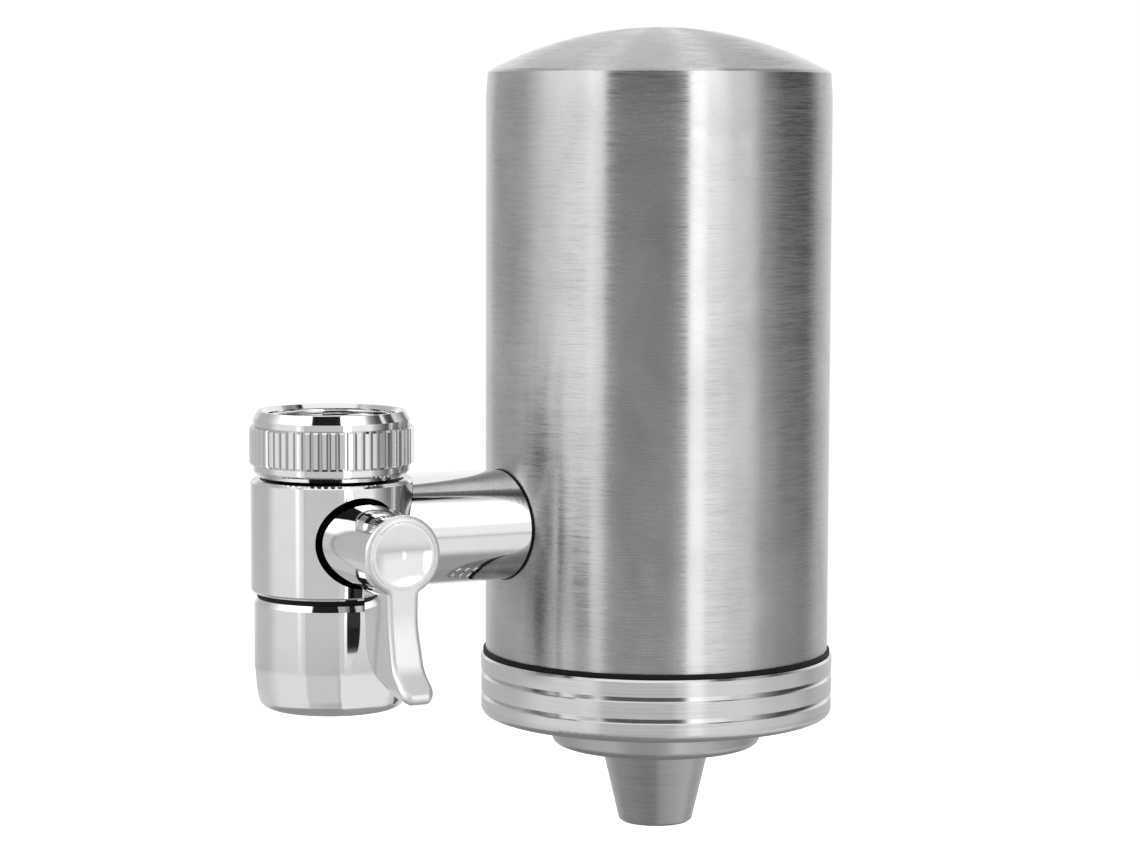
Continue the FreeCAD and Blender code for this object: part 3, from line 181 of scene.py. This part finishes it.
def recess_painted_shade(tree):
    """1 in the hub's recess and under the nut, where shade is painted in black."""
    x, y, z = place_parts(tree, (0, 0, VALVE_HEIGHT))
    in_bore = maths(tree, "LESS_THAN", distance(tree, x, z), HUB_RECESS_RADIUS)
    hub_recess = maths(tree, "MULTIPLY", in_bore, maths(tree, "LESS_THAN", y, HUB_RECESS_FLOOR))
    inner = maths(tree, "LESS_THAN", distance(tree, x, y), BODY_TOP_RADIUS)
    under_nut = maths(tree, "MULTIPLY", inner, maths(tree, "GREATER_THAN", z, BODY_TOP - VALVE_HEIGHT))
    return maths(tree, "MAXIMUM", hub_recess, under_nut)


def facing_forward(tree):
    """How far a face looks towards -Y of its own piece, from 1 in front to -1 behind."""
    normal = node(tree, "SeparateXYZ", {0: node(tree, "TexCoord").outputs["Normal"]}).outputs["Y"]
    return maths(tree, "MULTIPLY", normal, -1.0)


def lever_front(tree):
    """1 on the lever's front face."""
    return spread(tree, facing_forward(tree), 0.0, 1.0, 0.3, 0.55)


def lever_back_painted_shade(tree):
    """1 on the lever's back, where shade is painted in as a darker grey."""
    return spread(tree, facing_forward(tree), 1.0, 0.0, -0.7, -0.4)


def chrome_plating():
    """Bright chrome all over."""
    return chrome("bright_chrome_plating")


def plated_nut():
    """Bright chrome, with painted shade down in the knurl's grooves, which are also a little rougher."""
    return chrome("chrome_plated_knurled_brass", (knurl_groove_painted_shade, "#bebebe", 0.05))


def plated_body():
    """Bright chrome, with painted shade in black down in the recesses, which are also rougher."""
    return chrome("chrome_plated_turned_brass", (recess_painted_shade, "#0c0c0c", 0.4))


def plated_lever():
    """Bright chrome, with a front blasted to satin before it was plated and a back painted darker as shade, a
    little rougher.
    """
    return chrome("chrome_plated_cast_lever", (lever_front, "#dcdcdc", 0.5), (lever_back_painted_shade, "#484848", 0.1))


def turned_metal(name, smear):
    """A metal whose tool marks run round its upright axis, so that it smears highlights up and down."""
    material, tree, surface = finish_of(name, Metallic=1.0, Anisotropic=smear, Anisotropic_Rotation=0.25)
    feed(tree, surface, Tangent=node(tree, "Tangent", direction_type="RADIAL", axis="Z").outputs[0])
    return material, tree, surface


def brushed_steel():
    """Stainless sheet brushed round the can: short level hairlines that smear highlights up and down.

    The real hairlines are finer than a pixel, so these are drawn coarse enough to show. The crease where the
    wall starts to draw in is blended into a soft turn.
    """
    material, tree, surface = turned_metal("brushed_stainless_sheet", 1.0)
    hairs = grain(tree, (0.005, 0.005, 0.00024), detail=4.0, rough=0.65)
    bands = grain(tree, (0.02, 0.02, 0.0007), detail=2.0)
    cloud = grain(tree, (0.014, 0.014, 0.02), detail=3.0, twist=0.8)
    lines = maths(tree, "ADD", maths(tree, "MULTIPLY", hairs, 0.8), maths(tree, "MULTIPLY", bands, 0.2))
    mottle = maths(tree, "ADD", maths(tree, "MULTIPLY", lines, 0.6), maths(tree, "MULTIPLY", cloud, 0.4))
    away = maths(tree, "ABSOLUTE", place_parts(tree, (0, 0, EASE_START))["Z"])
    near = maths(tree, "MAXIMUM", maths(tree, "SUBTRACT", 1.0, maths(tree, "DIVIDE", away, EASE_BLEND)), 0.0)
    dip = maths(tree, "MULTIPLY", maths(tree, "MULTIPLY", near, near), -EASE_BLEND * EASE_SLOPE / 4)
    height = maths(tree, "ADD", maths(tree, "MULTIPLY", lines, HAIRLINE_DEPTH), dip)
    feed(
        tree,
        surface,
        Base_Color=tone(tree, spread(tree, mottle, 0, 1, 0.36, 0.64), "#a4a4a4", "#c3c3c3"),
        Roughness=spread(tree, lines, 0.22, 0.35, 0.38, 0.62),
    )
    relief(tree, surface, height, 1.0)
    return material


def polished_steel():
    """Turned stainless bar: the ring is polished, the underside and boss are left satin from the tool."""
    material, tree, surface = turned_metal("polished_turned_stainless", 0.45)
    lines = grain(tree, (0.03, 0.03, 0.0002), detail=2.0)
    satin = spread(tree, place_parts(tree)["Z"], 1.0, 0.0, SATIN_FULL, SATIN_START)
    ring = tone(tree, lines, "#c6c6c5", "#d8d8d7")
    underside = tone(tree, lines, "#a2a2a2", "#b4b4b4")
    feed(
        tree,
        surface,
        Base_Color=node(tree, "MixRGB", {0: satin, 1: ring, 2: underside}).outputs[0],
        Roughness=maths(tree, "ADD", spread(tree, lines, 0.13, 0.2), maths(tree, "MULTIPLY", satin, 0.17)),
    )
    relief(tree, surface, lines, 0.00001, 0.2)
    return material


def satin_metal():
    """Turned and bead-blasted spout: a fine even satin with faint turning rings."""
    material, tree, surface = turned_metal("satin_turned_stainless", 0.35)
    lines = grain(tree, (0.02, 0.02, 0.00025), detail=2.0)
    grit = grain(tree, (0.0003, 0.0003, 0.0003), detail=2.0)
    feed(
        tree,
        surface,
        Base_Color=tone(tree, lines, "#9b9b9b", "#b1b1b1"),
        Roughness=spread(tree, maths(tree, "MULTIPLY", lines, grit), 0.26, 0.36, 0.15, 0.4),
    )
    relief(tree, surface, grit, 0.00001, 0.3)
    return material


def spring_steel():
    """Cold-drawn spring wire and screw steel: grey and smooth, drawn lines along it."""
    material, tree, surface = finish_of("drawn_spring_steel", Metallic=1.0)
    lines = grain(tree, (0.0004, 0.0004, 0.004), detail=2.0)
    feed(
        tree,
        surface,
        Base_Color=tone(tree, lines, "#9a9a99", "#b4b4b2"),
        Roughness=spread(tree, lines, 0.2, 0.34),
    )
    return material


def bare_brass():
    """Machined free-cutting brass, unplated inside: yellow with fine tool rings and a slight tarnish."""
    material, tree, surface = finish_of("machined_brass", Metallic=1.0)
    rings = grain(tree, (0.0003, 0.0003, 0.0003), detail=2.0)
    tarnish = grain(tree, (0.005, 0.005, 0.005), detail=4.0)
    feed(
        tree,
        surface,
        Base_Color=tone(tree, tarnish, "#b08d4c", "#d3b067"),
        Roughness=spread(tree, rings, 0.24, 0.4),
    )
    relief(tree, surface, rings, 0.00001, 0.3)
    return material


def black_rubber():
    """Moulded nitrile rubber: matt black with a fine bloom and mould grain."""
    material, tree, surface = finish_of("moulded_nitrile_rubber", IOR=1.52, Specular_IOR_Level=0.2)
    bloom = grain(tree, (0.002, 0.002, 0.002), detail=4.0)
    grit = grain(tree, (0.00015, 0.00015, 0.00015), detail=1.0)
    feed(
        tree,
        surface,
        Base_Color=tone(tree, bloom, "#040404", "#0b0b0b"),
        Roughness=spread(tree, bloom, 0.55, 0.7),
    )
    relief(tree, surface, grit, 0.00001, 0.4)
    return material


def moulded_plastic():
    """Moulded white acetal: a soft sheen, faint flow marks and a grained mould."""
    material, tree, surface = finish_of("moulded_acetal", IOR=1.48, Subsurface_Weight=0.05)
    flow = grain(tree, (0.01, 0.01, 0.003), detail=2.0, twist=0.8)
    grit = grain(tree, (0.0002, 0.0002, 0.0002), detail=1.0)
    feed(
        tree,
        surface,
        Base_Color=tone(tree, flow, "#dcdbd6", "#e8e7e3"),
        Roughness=spread(tree, flow, 0.32, 0.44),
    )
    relief(tree, surface, grit, 0.00001, 0.3)
    return material


def fired_ceramic():
    """Unglazed porous ceramic: chalky off-white with fine pores and cloudy firing marks."""
    material, tree, surface = finish_of("unglazed_fired_ceramic", IOR=1.5)
    cloud = grain(tree, (0.01, 0.01, 0.01), detail=4.0)
    pores = grain(tree, (0.00035, 0.00035, 0.00035), detail=3.0)
    feed(
        tree,
        surface,
        Base_Color=tone(tree, cloud, "#ddd7ca", "#ebe7dd"),
        Roughness=spread(tree, pores, 0.78, 0.92),
    )
    relief(tree, surface, pores, 0.00006, 0.6)
    return material


def pressed_carbon():
    """Pressed carbon block: dull black grains, some of them catching light."""
    material, tree, surface = finish_of("pressed_carbon_block", IOR=1.6)
    grains = grain(tree, (0.0005, 0.0005, 0.0005), detail=3.0)
    feed(
        tree,
        surface,
        Base_Color=tone(tree, grains, "#0b0b0b", "#242424"),
        Roughness=spread(tree, grains, 0.5, 0.85),
    )
    relief(tree, surface, grains, 0.00015, 0.7)
    return material


FINISHES = {
    maker.__name__: maker()
    for maker in (
        chrome_plating,
        plated_nut,
        plated_body,
        plated_lever,
        brushed_steel,
        polished_steel,
        satin_metal,
        spring_steel,
        bare_brass,
        black_rubber,
        moulded_plastic,
        fired_ceramic,
        pressed_carbon,
    )
}
NODE_FINISHES = {
    "chrome_plating": "lever_cap outlet_collar inlet_arm",
    "plated_nut": "faucet_nut",
    "plated_body": "diverter_body",
    "plated_lever": "lever",
    "brushed_steel": "housing_can",
    "polished_steel": "base_cap",
    "satin_metal": "spout",
    "spring_steel": "nut_retaining_ring lever_screw inlet_strainer aerator_screen can_thread_ring",
    "bare_brass": "valve_spool valve_gland arm_stud saddle_nut",
    "black_rubber": (
        "inlet_washer outlet_gasket aerator_washer arm_seal can_gasket closure_gasket spout_seal"
        " nipple_seal spool_front_seal spool_rear_seal"
    ),
    "moulded_plastic": "aerator_insert candle_base",
    "fired_ceramic": "ceramic_candle",
    "pressed_carbon": "carbon_core",
}


def dress(piece, finish):
    """Gives a piece one finish."""
    piece.data.materials.clear()
    piece.data.materials.append(FINISHES[finish])


for finish, names in NODE_FINISHES.items():
    for name in names.split():
        dress(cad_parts[name], finish)


def mesh_piece(name, points, faces):
    """A smooth mesh object at the origin, from points (n, 3) and quads (m, 4)."""
    mesh = bpy.data.meshes.new(name)
    mesh.from_pydata(points.tolist(), [], faces.tolist())
    mesh.validate()
    mesh.polygons.foreach_set("use_smooth", np.ones(len(mesh.polygons), dtype=bool))
    piece = bpy.data.objects.new(name, mesh)
    bpy.context.scene.collection.objects.link(piece)
    return piece


def grid_faces(rows, columns):
    """Quads over a grid of rows x columns points, its columns joined round."""
    i, j = np.meshgrid(np.arange(rows - 1), np.arange(columns), indexing="ij")
    k = (j + 1) % columns
    row, next_row = i * columns, (i + 1) * columns
    return np.stack([row + j, row + k, next_row + k, next_row + j], -1).reshape(-1, 4)


# Points in a turn of the thread, and the turns that each of its ends leaves free and grows over
THREAD_STEPS = 96
THREAD_END = 0.3

# The ridge's section: places across it in pitches, and their reach from the wall to the crest
RIDGE_ACROSS = (-0.44, -0.07, 0.07, 0.44, 0.44, -0.44)
RIDGE_REACH = (0.0, 1.0, 1.0, 0.0, -0.06, -0.06)


def inside_thread(name, wall, crest, pitch, top, bottom):
    """The helical ridge of an inside thread.

    A point (t, v) lies at angle 2 pi t, at height top - pitch * (end + t) plus its place across the ridge,
    and at the radius that its reach gives: the wall at the two feet, the crest on the flat top, and a little
    inside the wall's metal behind. The ridge grows out of the wall at its start and back into it at its end.
    """
    turns = (top - bottom) / pitch - 2 * THREAD_END
    t = np.linspace(0, turns, int(turns * THREAD_STEPS))
    grown = np.clip(np.minimum(t, turns - t) / THREAD_END, 0.02, 1.0)
    across = np.array(RIDGE_ACROSS) * pitch
    reach = np.array(RIDGE_REACH)
    radius = wall - (wall - crest) * reach[None, :] * grown[:, None]
    height = top - pitch * THREAD_END - pitch * t[:, None] + across[None, :] * grown[:, None]
    angle = 2 * math.pi * t[:, None]
    points = np.stack([radius * np.cos(angle), radius * np.sin(angle), height], -1).reshape(-1, 3)
    faces = grid_faces(len(t), len(across))
    ends = [[5, 4, 3, 0], [0, 3, 2, 1]]
    last = (len(t) - 1) * len(across)
    caps = ends + [[last + n for n in reversed(end)] for end in ends]
    return mesh_piece(name, points, np.vstack([faces, caps]))


thread = inside_thread("nut_thread", wall=0.011, crest=0.01046, pitch=0.001, top=-0.00065, bottom=-0.0062)
dress(thread, "chrome_plating")
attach(thread, "nut")


# Points round the bead's ring and round the bead itself
BEAD_TURNS, BEAD_SIDES = 160, 16


def lever_bead(name, radius, thickness, front, height):
    """A round bead in a ring about the lever's axis, over the seam round the button.

    With R the radius and r the thickness, a point (u, v) lies at angle u round the axis:
    x = (R + r cos v) cos u, y = front + r + r sin v, z = height + (R + r cos v) sin u.
    """
    u = np.linspace(0, 2 * math.pi, BEAD_TURNS, endpoint=False)[:, None]
    v = np.linspace(0, 2 * math.pi, BEAD_SIDES, endpoint=False)[None, :]
    reach = radius + thickness * np.cos(v)
    y = front + thickness + thickness * np.sin(v) + 0 * u
    points = np.stack([reach * np.cos(u), y, height + reach * np.sin(u)], -1).reshape(-1, 3)
    faces = grid_faces(BEAD_TURNS + 1, BEAD_SIDES) % (BEAD_TURNS * BEAD_SIDES)
    return mesh_piece(name, points, faces)


bead = lever_bead("lever_cap_bead", radius=0.00543, thickness=0.00013, front=-0.03038, height=VALVE_HEIGHT)
dress(bead, "plated_lever")
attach(bead, "handle")


# The light tent round the object, whose metal shows these screens. Each has four azimuths in degrees, from
# the camera's side towards screen right: it fades in over the first two and out over the last two. Then come
# its lower and upper edge, how far these fade, and how brightly it glows. Later screens hang before earlier
# ones, and where none hangs the tent glows as OPEN_TENT says.
OPEN_TENT = 0.62
ALL_ROUND = (-999, -998, 998, 999)
SCREENS = (
    ("back wall", (124, 150, 200, 224), (-12, 7), 4, 0.85),
    ("back box", (118, 148, 200, 224), (7, 95), 4, 1.2),
    ("left wall", (-100, -80, -39, -34), (-12, 7), 4, 1.05),
    ("left strip", (-50, -46.5, -44.5, -41), (-12, 7), 4, 1.6),
    ("left box", (-118, -62, -38, -34), (7, 62), 5, 2.4),
    ("right flag", (66, 92, 112, 132), (-12, 46), 5, 0.1),
    ("right wall", (29, 31, 60, 72), (-12, 7), 4, 1.2),
    ("far right box", (29, 31, 60, 76), (7, 60), 5, 1.75),
    ("right box", (29, 31, 42, 52), (7, 60), 5, 2.8),
    ("strip box", (19.5, 20.8, 30, 32), (-12, 60), 3, 2.8),
    ("ceiling", ALL_ROUND, (66, 99), 4, 1.25),
    ("gap over the boxes", (60, 72, 112, 125), (58, 66), 1.5, 0.02),
    ("front wall", (-35, -33.5, 18.5, 19.8), (-12, 4), 1.6, 0.75),
    ("front flag", (-35, -33.5, 18.5, 19.8), (4, 61), 1.6, 0.02),
    ("table", ALL_ROUND, (-99, -12), 3, 0.38),
    ("table's edge", ALL_ROUND, (-38, -12), 14, 0.78),
    ("table's left edge", (-110, -80, -39, -34), (-38, -12), 14, 1.0),
    ("lit half of the table", (6, 18, 96, 120), (-99, -12), 3, 0.42),
    ("lit edge of the table", (11, 14, 96, 120), (-46, -12), 16, 1.05),
)

# The tent's middle along X, its radius, and the elevations in degrees between which its cloth hangs
TENT_MIDDLE = CAN_AXIS / 2
TENT_RADIUS = 1.0
TENT_LOW, TENT_HIGH = -13, 89.9
TENT_ROWS, TENT_COLUMNS = 104, 540

# The floor's rim as a share of the tent's radius, and the glow that brings its open paper up to white
FLOOR_RIM, FLOOR_ROWS = 0.975, 60
PAPER_LIFT = 0.46


def smooth_step(value):
    """0 below 0, 1 above 1, and an even curve between."""
    held = np.clip(value, 0, 1)
    return held * held * (3 - 2 * held)


def tent_glow(points):
    """How brightly the tent glows at points, from their directions as seen from the middle of the object."""
    x, y, z = (points - [TENT_MIDDLE, 0, 0]).T
    azimuth = np.degrees(np.arctan2(x, -y) - CAMERA_AZIMUTH)
    elevation = np.degrees(np.arctan2(z, np.hypot(x, y)))
    glow = np.full(len(points), OPEN_TENT)
    for _, (start, full, last, end), (low, high), fade, level in SCREENS:
        middle = (start + end) / 2
        turned = (azimuth - middle + 180) % 360 - 180 + middle
        there = smooth_step((turned - start) / (full - start)) * smooth_step((end - turned) / (end - last))
        there *= smooth_step((elevation - low) / fade + 0.5) * smooth_step((high - elevation) / fade + 0.5)
        glow += (level - glow) * there
    return glow


def polar_sheet(name, radius, height):
    """A sheet of revolution about the tent's middle, with its glow in an attribute.

    radius and height run from the rim to the pole. The point (u, v) is the u-th of them, turned by 2 pi v.
    """
    angle = np.linspace(0, 2 * math.pi, TENT_COLUMNS, endpoint=False)[None, :]
    ring_x = TENT_MIDDLE + radius[:, None] * np.sin(angle)
    ring_y = -radius[:, None] * np.cos(angle)
    ring_z = height[:, None] + 0 * angle
    points = np.stack([ring_x, ring_y, ring_z], -1).reshape(-1, 3)
    sheet = mesh_piece(name, points, grid_faces(len(radius), TENT_COLUMNS))
    glow = sheet.data.attributes.new("glow", "FLOAT", "POINT")
    glow.data.foreach_set("value", tent_glow(points))
    return sheet


def stage_material(name):
    """An empty material for the studio."""
    material = bpy.data.materials.new(name)
    material.use_nodes = True
    material.node_tree.nodes.clear()
    return material, material.node_tree


def light_tent():
    """The tent's cloth: part of a sphere, closed overhead, that every ray but the camera's can see."""
    elevation = np.radians(np.linspace(TENT_LOW, TENT_HIGH, TENT_ROWS))
    tent = polar_sheet("light_tent", TENT_RADIUS * np.cos(elevation), TENT_RADIUS * np.sin(elevation))
    material, tree = stage_material("tent_cloth")
    level = node(tree, "Attribute", attribute_name="glow").outputs["Fac"]
    glow = node(tree, "Emission", {"Color": grey(1.0), "Strength": level})
    node(tree, "OutputMaterial", {"Surface": glow.outputs[0]})
    material.cycles.emission_sampling = "NONE"
    tent.data.materials.append(material)
    tent.visible_camera = False


def studio_floor():
    """A pale floor below the object: white where it is open, with the object's soft shadow on it."""
    radius = np.linspace(TENT_RADIUS * FLOOR_RIM, 0.001, FLOOR_ROWS)
    floor = polar_sheet("studio_floor", radius, np.full(FLOOR_ROWS, FLOOR_HEIGHT))
    material, tree = stage_material("white_paper_floor")
    paper = node(tree, "BsdfDiffuse", {"Color": linear("#f2f2f2")})
    lift = node(tree, "Emission", {"Color": grey(1.0), "Strength": PAPER_LIFT})
    lit = node(tree, "AddShader", {0: paper.outputs[0], 1: lift.outputs[0]})
    path = node(tree, "LightPath")
    seen = maths(tree, "MAXIMUM", path.outputs["Is Camera Ray"], path.outputs["Is Transmission Ray"])
    open_paper = node(tree, "MixShader", {0: seen, 1: paper.outputs[0], 2: lit.outputs[0]})
    level = node(tree, "Attribute", attribute_name="glow").outputs["Fac"]
    mirrored = node(tree, "Emission", {"Color": grey(1.0), "Strength": level})
    in_metal = path.outputs["Is Glossy Ray"]
    front = node(tree, "MixShader", {0: in_metal, 1: open_paper.outputs[0], 2: mirrored.outputs[0]})
    behind = node(tree, "NewGeometry").outputs["Backfacing"]
    clear = node(tree, "BsdfTransparent")
    whole = node(tree, "MixShader", {0: behind, 1: front.outputs[0], 2: clear.outputs[0]})
    node(tree, "OutputMaterial", {"Surface": whole.outputs[0]})
    material.cycles.emission_sampling = "NONE"
    floor.data.materials.append(material)


light_tent()
studio_floor()

world = bpy.data.worlds.new("white_studio")
bpy.context.scene.world = world
world.use_nodes = True
world.node_tree.nodes.clear()
sky = node(world.node_tree, "Background", {"Color": grey(1.0), "Strength": 1.0})
node(world.node_tree, "OutputWorld", {"Surface": sky.outputs[0]})


def photograph_camera():
    """The camera where the photograph's outlines put it: azimuth, elevation, roll and place."""
    a, e, r = CAMERA_AZIMUTH, CAMERA_ELEVATION, CAMERA_ROLL
    back = np.array([math.sin(a) * math.cos(e), -math.cos(a) * math.cos(e), math.sin(e)])
    level = np.array([math.cos(a), math.sin(a), 0.0])
    upright = np.cross(back, level)
    right = level * math.cos(r) + upright * math.sin(r)
    up = upright * math.cos(r) - level * math.sin(r)
    camera = bpy.data.objects.new("camera", bpy.data.cameras.new("camera"))
    bpy.context.scene.collection.objects.link(camera)
    turn = Matrix(np.column_stack([right, up, back]).tolist()).to_4x4()
    camera.matrix_world = Matrix.Translation(CAMERA_PLACE) @ turn
    camera.data.sensor_width = 36.0
    camera.data.lens = CAMERA_LENS
    camera.data.clip_start = 0.01
    camera.data.clip_end = 50.0
    bpy.context.scene.camera = camera


photograph_camera()
bpy.context.scene.view_settings.view_transform = "Standard"
